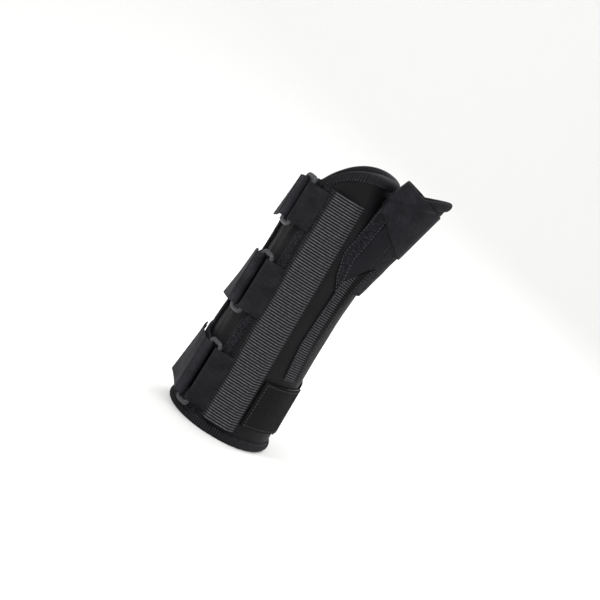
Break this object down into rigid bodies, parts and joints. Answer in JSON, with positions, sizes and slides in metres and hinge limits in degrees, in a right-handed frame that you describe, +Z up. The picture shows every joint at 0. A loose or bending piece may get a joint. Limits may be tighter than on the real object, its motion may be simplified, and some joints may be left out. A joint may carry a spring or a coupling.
{
  "type": "wrist splint",
  "caption": "Left wrist and thumb splint with ring-and-strap closures, stay pockets and a thumb sleeve, standing on its forearm rim.",
  "frame": {"origin": "centre of the forearm opening, in the plane of the forearm rim that the splint stands on", "axes": "+Z up the forearm to the fingers, -Y the radial (thumb) side, +X the palm side, -X the back of the hand"},
  "size_m": [0.0983, 0.0963, 0.2113],
  "materials": {
    "shell_fabric": "smooth knit laminated to foam",
    "liner_foam": "brushed terry lining on foam",
    "loop_fabric": "napped loop fabric",
    "binding_tape": "knitted elastic binding",
    "ribbed_webbing": "cross-ribbed woven webbing",
    "strap_fabric": "brushed loop strap",
    "hook_tape": "moulded hook tape",
    "ring_plastic": "moulded acetal",
    "stay_metal": "mill-finish bendable sheet"
  },
  "bodies": {
    "splint_body": {"back_edge_binding": "binding_tape", "back_tongue": "shell_fabric", "bottom_ring_tab": "strap_fabric", "bottom_strap": "strap_fabric", "distal_binding": "binding_tape", "front_edge_binding": "binding_tape", "gusset_trim": "loop_fabric", "inner_liner": "liner_foam", "middle_ring_tab": "strap_fabric", "middle_strap": "strap_fabric", "outer_shell": "shell_fabric", "palmar_stay": "stay_metal", "proximal_binding": "binding_tape", "radial_stay_pocket": "ribbed_webbing", "thumb_binding": "binding_tape", "thumb_gusset": "shell_fabric", "thumb_sleeve": "loop_fabric", "thumb_stay": "stay_metal", "thumb_stay_pocket": "ribbed_webbing", "thumb_strap": "strap_fabric", "top_ring_tab": "strap_fabric", "top_strap": "strap_fabric"},
    "top_ring_body": {"top_ring": "ring_plastic", "top_strap_fold": "strap_fabric"},
    "top_pull": {"top_pull_end": "strap_fabric", "top_hook_tab": "hook_tape"},
    "middle_ring_body": {"middle_ring": "ring_plastic", "middle_strap_fold": "strap_fabric"},
    "middle_pull": {"middle_pull_end": "strap_fabric", "middle_hook_tab": "hook_tape"},
    "bottom_ring_body": {"bottom_ring": "ring_plastic", "bottom_strap_fold": "strap_fabric"},
    "bottom_pull": {"bottom_pull_end": "strap_fabric", "bottom_hook_tab": "hook_tape"},
    "anchor_end": {"anchor_patch": "hook_tape"},
    "thumb_flap": {"thumb_strap_end": "strap_fabric", "thumb_hook_tab": "hook_tape"},
    "radial_stay_body": {"radial_stay": "stay_metal"}
  },
  "joints": [
    {"name": "top_ring_tilt", "type": "hinge", "parent": "splint_body", "child": "top_ring_body", "pos_m": [-0.02714, -0.03307, 0.1615], "axis": [0, 0, 1], "range_deg": [0, 25]},
    {"name": "top_strap_peel", "type": "hinge", "parent": "top_ring_body", "child": "top_pull", "pos_m": [-0.03286, -0.02486, 0.1615], "axis": [0, 0, 1], "range_deg": [0, 100]},
    {"name": "middle_ring_tilt", "type": "hinge", "parent": "splint_body", "child": "middle_ring_body", "pos_m": [-0.0242, -0.03677, 0.1004], "axis": [0, 0, 1], "range_deg": [0, 25]},
    {"name": "middle_strap_peel", "type": "hinge", "parent": "middle_ring_body", "child": "middle_pull", "pos_m": [-0.031, -0.02943, 0.1004], "axis": [0, 0, 1], "range_deg": [0, 100]},
    {"name": "bottom_ring_tilt", "type": "hinge", "parent": "splint_body", "child": "bottom_ring_body", "pos_m": [-0.02229, -0.0386, 0.0316], "axis": [0, 0, 1], "range_deg": [0, 25]},
    {"name": "bottom_strap_peel", "type": "hinge", "parent": "bottom_ring_body", "child": "bottom_pull", "pos_m": [-0.02971, -0.03189, 0.0316], "axis": [0, 0, 1], "range_deg": [0, 100]},
    {"name": "anchor_patch_peel", "type": "hinge", "parent": "splint_body", "child": "anchor_end", "pos_m": [0.03765, -0.002, 0.033], "axis": [0, 0, 1], "range_deg": [0, 90]},
    {"name": "thumb_strap_peel", "type": "hinge", "parent": "splint_body", "child": "thumb_flap", "pos_m": [0.037, -0.0422, 0.19], "axis": [0.2641, -0.1275, 0.956], "range_deg": [0, 110]},
    {"name": "radial_stay_slide", "type": "slide", "parent": "splint_body", "child": "radial_stay_body", "axis": [-0.0262, 0, 0.9997], "range_m": [0, 0.06]}
  ]
}
